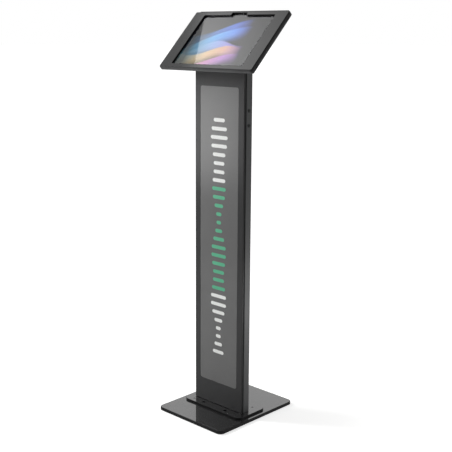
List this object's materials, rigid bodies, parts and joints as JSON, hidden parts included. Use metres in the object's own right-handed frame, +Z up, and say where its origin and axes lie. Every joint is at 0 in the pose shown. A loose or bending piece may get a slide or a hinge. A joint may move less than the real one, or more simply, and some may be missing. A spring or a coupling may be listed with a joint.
{
  "type": "tablet kiosk stand",
  "caption": "Floor-standing tablet kiosk: flat base plate, slim column with a graphic panel and a tilted lockable tablet enclosure with a hinged frame.",
  "frame": {"origin": "on the floor, under the middle of the base plate", "axes": "+X to the user's right, -Y to the front where the user stands, +Z up"},
  "size_m": [0.3046, 0.272, 1.0021],
  "materials": {
    "base_steel": "satin powder coat",
    "coated_steel": "matt powder coat",
    "column_aluminium": "dark anodised",
    "front_aluminium": "dark anodised",
    "shell_aluminium": "matt black anodised",
    "frame_aluminium": "dark anodised",
    "panel_plastic": "printed sheet",
    "cap_plastic": "fine texture",
    "pad_rubber": "matt",
    "foam_rubber": "closed-cell foam",
    "screw_steel": "zinc plated",
    "lock_chrome": "polished",
    "lock_brass": "machined",
    "tablet_aluminium": "fine blasted",
    "battery_foil": "foil pouch",
    "board_laminate": "solder mask",
    "display_module": "lit display",
    "cover_glass": "polished",
    "camera_plastic": "lens barrel"
  },
  "bodies": {
    "stand": {"base_plate": "base_steel", "base_pads": "pad_rubber", "foot_plate": "coated_steel", "foot_screws": "screw_steel", "column_body": "column_aluminium", "column_screws": "screw_steel", "front_plate": "front_aluminium", "plate_screws": "screw_steel", "graphic_panel": "panel_plastic", "column_cap": "cap_plastic", "cap_screws": "screw_steel", "rear_grommet": "pad_rubber", "head_bracket": "coated_steel", "vesa_screws": "screw_steel", "back_shell": "shell_aluminium", "entry_grommet": "pad_rubber", "tablet_pads": "foam_rubber", "tablet_stops": "foam_rubber", "tablet_body": "tablet_aluminium", "tablet_battery": "battery_foil", "tablet_board": "board_laminate", "tablet_display": "display_module", "tablet_glass": "cover_glass", "front_camera": "camera_plastic", "hinge_pins": "screw_steel", "lock_barrel": "lock_chrome", "lock_nut": "screw_steel"},
    "frame": {"front_frame": "frame_aluminium", "window_gasket": "foam_rubber"},
    "lock": {"lock_plug": "lock_brass", "lock_cam": "screw_steel", "cam_screw": "screw_steel"},
    "power_button": {"power_button": "tablet_aluminium"},
    "volume_rocker": {"volume_rocker": "tablet_aluminium"}
  },
  "joints": [
    {"name": "frame_open", "type": "hinge", "parent": "stand", "child": "frame", "pos_m": [0, 0.05091, 0.99962], "axis": [-1, 0, 0], "range_deg": [0, 115]},
    {"name": "lock_turn", "type": "hinge", "parent": "stand", "child": "lock", "pos_m": [0.13399, -0.04989, 0.88715], "axis": [0, -0.7071, 0.7071], "range_deg": [0, 90]},
    {"name": "power_press", "type": "slide", "parent": "stand", "child": "power_button", "axis": [1, 0, 0], "range_m": [0, 0.0004], "stiffness_N_per_m": 3000},
    {"name": "volume_press", "type": "slide", "parent": "stand", "child": "volume_rocker", "axis": [1, 0, 0], "range_m": [0, 0.0004], "stiffness_N_per_m": 3000}
  ]
}
